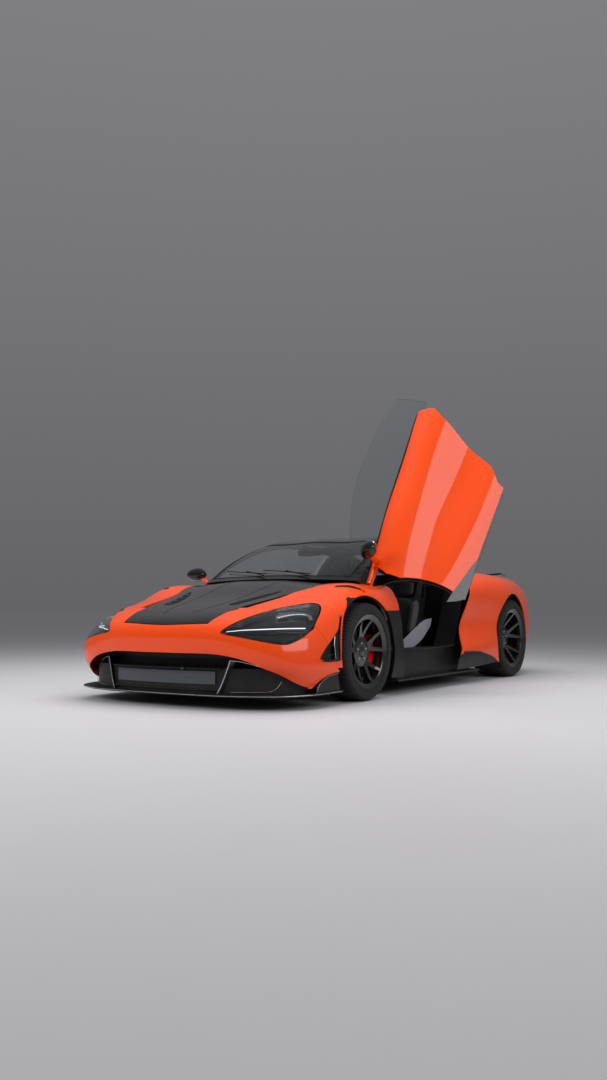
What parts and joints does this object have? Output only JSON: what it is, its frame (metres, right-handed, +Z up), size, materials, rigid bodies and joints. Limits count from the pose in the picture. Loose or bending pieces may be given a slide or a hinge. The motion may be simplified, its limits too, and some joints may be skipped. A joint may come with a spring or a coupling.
{
  "type": "supercar",
  "caption": "Low mid-engined sports car with upward-swinging doors, steered front wheels and a lifting front lid.",
  "frame": {"origin": "on the ground, midway between the axles, on the car's centre plane", "axes": "+X forward, +Y to the car's left, +Z up"},
  "size_m": [4.515, 2.5899, 2.2467],
  "materials": {
    "body_orange": "gloss orange paint",
    "gloss_black": "gloss black",
    "satin_black": "satin black moulded plastic",
    "carbon": "satin carbon composite",
    "glass": "clear tinted glass",
    "lamp": "lamp unit behind a clear cover",
    "tail_lamp": "red lamp strip",
    "steel": "brushed steel",
    "cast_metal": "cast metal",
    "seat_leather": "black leather",
    "cabin_trim": "black trim",
    "alloy": "forged alloy",
    "caliper_red": "red paint",
    "rim_black": "gloss black wheel paint",
    "tyre": "tyre rubber",
    "disc": "machined brake disc"
  },
  "bodies": {
    "car": {"dashboard": "cabin_trim", "diffuser": "satin_black", "drive_shafts": "steel", "engine_block": "cast_metal", "exhaust_pipes": "steel", "fender_blades": "satin_black", "fender_left": "body_orange", "fender_right": "body_orange", "fender_vents": "gloss_black", "front_bumper": "body_orange", "front_frame": "satin_black", "front_splitter": "gloss_black", "headlamp_left": "lamp", "headlamp_right": "lamp", "intake_panel": "gloss_black", "luggage_tub": "satin_black", "monocell_tub": "carbon", "quarter_blades": "gloss_black", "quarter_left": "body_orange", "quarter_right": "body_orange", "rear_calipers": "caliper_red", "rear_deck": "body_orange", "rear_frame": "satin_black", "rear_screen": "glass", "rear_uprights": "alloy", "rear_wing": "gloss_black", "roof_frame": "gloss_black", "seats": "seat_leather", "side_skirts": "gloss_black", "suspension_arms": "alloy", "tail_lamps": "tail_lamp", "tail_panel": "gloss_black", "undertray": "satin_black", "windscreen": "glass"},
    "wheel_front_left": {"rim_front_left": "rim_black", "tyre_front_left": "tyre", "disc_front_left": "disc"},
    "wheel_front_right": {"rim_front_right": "rim_black", "tyre_front_right": "tyre", "disc_front_right": "disc"},
    "wheel_rear_left": {"rim_rear_left": "rim_black", "tyre_rear_left": "tyre", "disc_rear_left": "disc"},
    "wheel_rear_right": {"rim_rear_right": "rim_black", "tyre_rear_right": "tyre", "disc_rear_right": "disc"},
    "knuckle_left": {"upright_front_left": "alloy", "caliper_front_left": "caliper_red"},
    "door_left": {"door_left": "body_orange", "door_glass_left": "glass", "door_mirror_left": "gloss_black"},
    "knuckle_right": {"upright_front_right": "alloy", "caliper_front_right": "caliper_red"},
    "door_right": {"door_right": "body_orange", "door_glass_right": "glass", "door_mirror_right": "gloss_black"},
    "lid": {"front_lid": "gloss_black"},
    "hand_wheel": {"steering_wheel": "cabin_trim"}
  },
  "joints": [
    {"name": "steer_left", "type": "hinge", "parent": "car", "child": "knuckle_left", "pos_m": [1.335, 0.731, 0.327], "axis": [0, 0, 1], "range_deg": [-28, 28]},
    {"name": "steer_right", "type": "hinge", "parent": "car", "child": "knuckle_right", "pos_m": [1.335, -0.731, 0.327], "axis": [0, 0, 1], "range_deg": [-28, 28]},
    {"name": "steering_wheel_turn", "type": "hinge", "parent": "car", "child": "hand_wheel", "pos_m": [0.36, 0.33, 0.65], "axis": [-0.9272, 0, 0.3746], "range_deg": [-336, 336]},
    {"name": "spin_front_left", "type": "hinge", "parent": "knuckle_left", "child": "wheel_front_left", "pos_m": [1.335, 0.826, 0.327], "axis": [0, 1, 0], "continuous": true},
    {"name": "spin_front_right", "type": "hinge", "parent": "knuckle_right", "child": "wheel_front_right", "pos_m": [1.335, -0.826, 0.327], "axis": [0, 1, 0], "continuous": true},
    {"name": "spin_rear_left", "type": "hinge", "parent": "car", "child": "wheel_rear_left", "pos_m": [-1.335, 0.806, 0.3455], "axis": [0, 1, 0], "continuous": true},
    {"name": "spin_rear_right", "type": "hinge", "parent": "car", "child": "wheel_rear_right", "pos_m": [-1.335, -0.806, 0.3455], "axis": [0, 1, 0], "continuous": true},
    {"name": "door_left_swing", "type": "hinge", "parent": "car", "child": "door_left", "pos_m": [1.002, 0.8, 0.711], "axis": [0.4869, 0.7388, -0.4659], "range_deg": [-76, 0]},
    {"name": "door_right_swing", "type": "hinge", "parent": "car", "child": "door_right", "pos_m": [1.002, -0.8, 0.711], "axis": [-0.4869, 0.7388, 0.4659], "range_deg": [0, 76]},
    {"name": "lid_lift", "type": "hinge", "parent": "car", "child": "lid", "pos_m": [1.165, 0, 0.735], "axis": [0, -1, 0], "range_deg": [0, 48]}
  ],
  "couplings": [
    {"joint": "steer_right", "follows": "steer_left", "ratio": 1},
    {"joint": "steering_wheel_turn", "follows": "steer_left", "ratio": 12}
  ]
}
